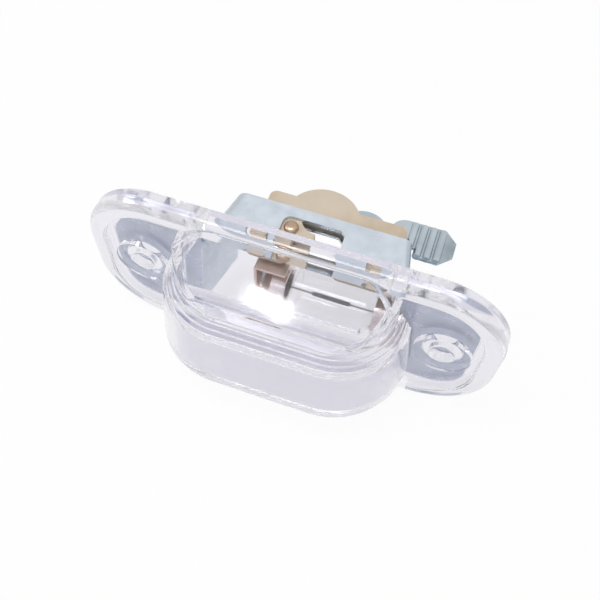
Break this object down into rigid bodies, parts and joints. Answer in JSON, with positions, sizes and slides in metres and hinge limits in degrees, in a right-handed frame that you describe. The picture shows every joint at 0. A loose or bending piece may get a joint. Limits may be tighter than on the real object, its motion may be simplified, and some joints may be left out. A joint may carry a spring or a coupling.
{
  "type": "number plate lamp",
  "caption": "Clear number plate lamp: a screw-fixed flange with a ridged bowl, on a folded steel bracket that holds a festoon bulb and a ribbed wire terminal.",
  "frame": {"origin": "middle of the flange's back face, halfway between the screw holes", "axes": "+X along the flange, +Y out of its back towards the panel it is screwed to, +Z to the side that the window faces"},
  "size_m": [0.086, 0.041, 0.0392],
  "materials": {
    "clear_plastic": "clear, polished",
    "zinc_plate": "zinc-plated sheet",
    "beige_plastic": "matt",
    "strip_metal": "plated strip",
    "spring_bronze": "plain, a little dull",
    "rivet_metal": "plain",
    "bulb_glass": "clear",
    "bulb_cap": "bright nickel",
    "filament": "wire"
  },
  "bodies": {
    "root": {"lens": "clear_plastic", "bracket": "zinc_plate", "insulator": "beige_plastic", "live_strip": "strip_metal", "contact_spring": "spring_bronze", "live_rivet": "rivet_metal", "bulb_glass": "bulb_glass", "bulb_cap_left": "bulb_cap", "bulb_cap_right": "bulb_cap", "bulb_filament": "filament"}
  },
  "joints": []
}
